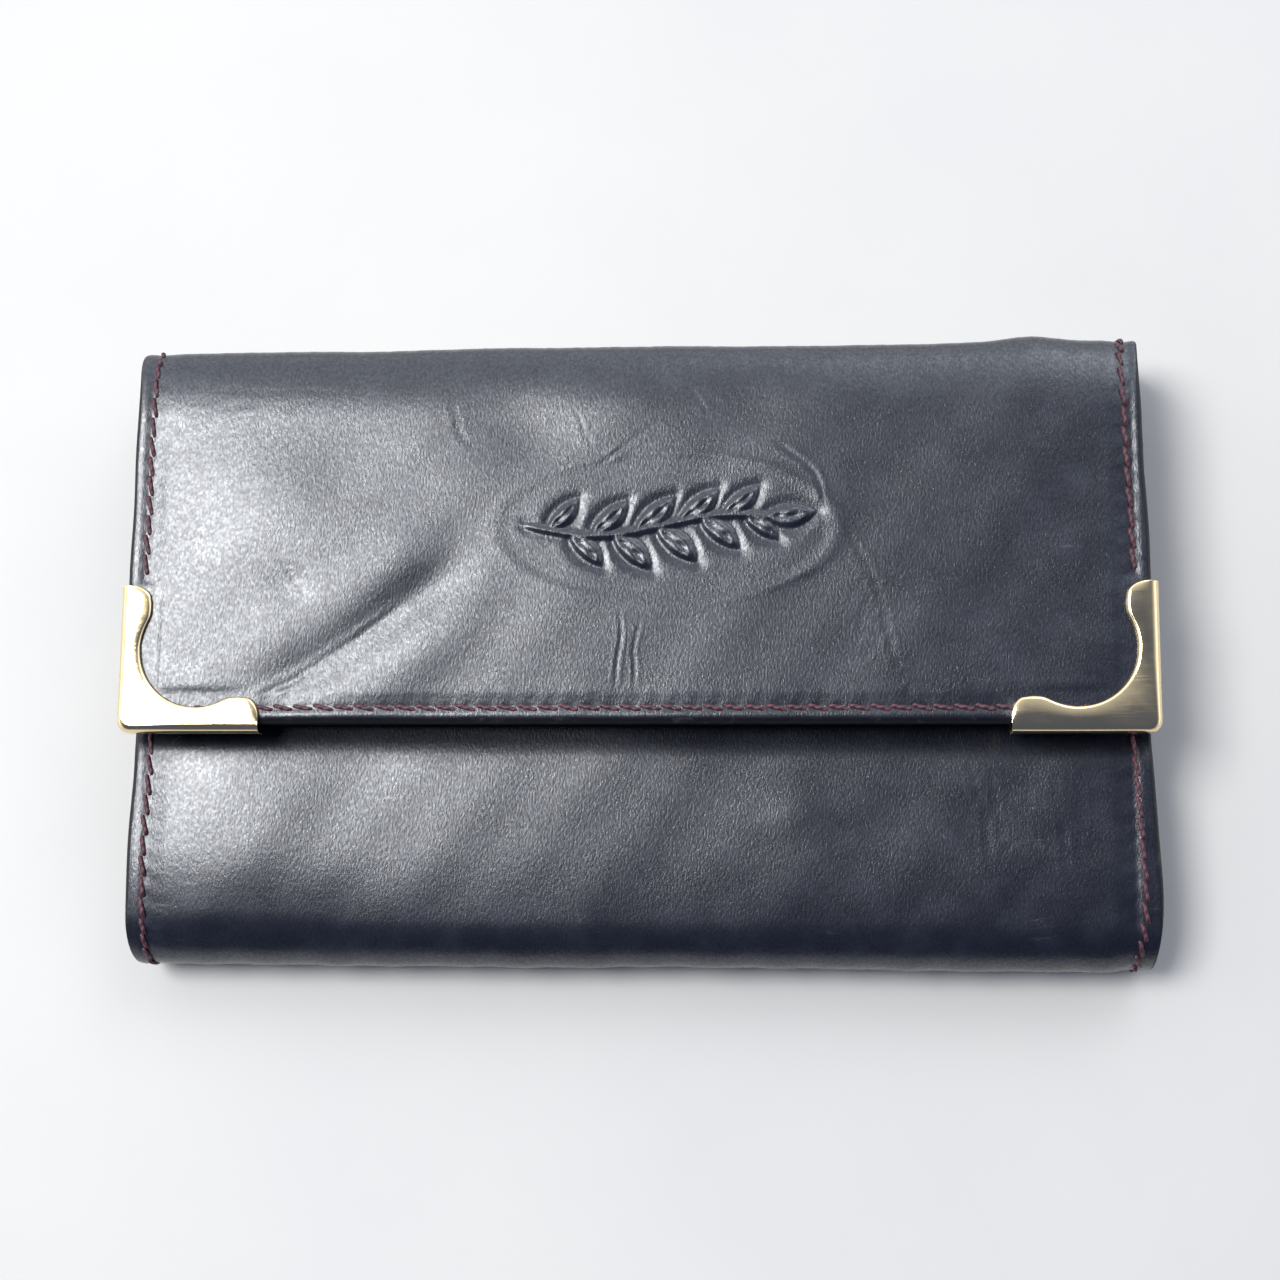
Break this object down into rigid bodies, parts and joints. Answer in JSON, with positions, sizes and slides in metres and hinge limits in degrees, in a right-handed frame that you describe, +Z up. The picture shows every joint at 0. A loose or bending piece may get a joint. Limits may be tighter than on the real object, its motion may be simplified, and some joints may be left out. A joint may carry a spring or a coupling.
{
  "type": "business card case",
  "caption": "Flat leather card case with a fold-over flap, a gusseted card pocket, a hidden press stud and metal corner caps.",
  "frame": {"origin": "centre of the case's footprint, on the surface that its back lies on", "axes": "+X along the folds, to the right with the flap facing up and the spine away; +Y from the bottom fold to the spine; +Z up through the flap"},
  "size_m": [0.1112, 0.068, 0.0149],
  "materials": {
    "outer_leather": "finely grained semi-gloss",
    "lining_leather": "matt, smooth",
    "gusset_leather": "matt, smooth",
    "board": "pressed fibre board, matt",
    "thread": "waxed sewing thread",
    "gold": "polished gold plate",
    "snap_metal": "satin antique plate"
  },
  "bodies": {
    "back": {"back_leather": "outer_leather", "back_board": "board", "back_lining": "lining_leather", "slip_pocket_panel": "lining_leather", "back_seam_left": "thread", "back_seam_right": "thread", "gusset_left": "gusset_leather", "gusset_right": "gusset_leather"},
    "spine": {"spine_leather": "outer_leather", "spine_lining": "lining_leather", "spine_seams": "thread"},
    "front": {"front_leather": "outer_leather", "front_board": "board", "front_lining": "lining_leather", "front_seam_left": "thread", "front_seam_right": "thread", "snap_stud": "snap_metal", "stud_post": "snap_metal"},
    "flap": {"flap_leather": "outer_leather", "flap_board": "board", "flap_lining": "lining_leather", "flap_seam_left": "thread", "flap_seam_right": "thread", "flap_seam_front": "thread", "corner_cap_left": "gold", "corner_cap_right": "gold", "snap_socket": "snap_metal", "socket_post": "snap_metal", "snap_spring": "snap_metal"}
  },
  "joints": [
    {"name": "spine_fold", "type": "hinge", "parent": "back", "child": "spine", "pos_m": [0, 0.03312, 0.00088], "axis": [-1, 0, 0], "range_deg": [0, 89]},
    {"name": "flap_fold", "type": "hinge", "parent": "spine", "child": "flap", "pos_m": [0, 0.03312, 0.01352], "axis": [-1, 0, 0], "range_deg": [0, 89]},
    {"name": "pocket_open", "type": "hinge", "parent": "back", "child": "front", "pos_m": [0, -0.034, 0.005], "axis": [1, 0, 0], "range_deg": [0, 5.5], "deforming": ["gusset_left", "gusset_right"]}
  ],
  "couplings": [
    {"joint": "flap_fold", "follows": "spine_fold", "ratio": 1},
    {"joint": "pocket_open", "follows": "spine_fold", "ratio": 0.061797}
  ]
}
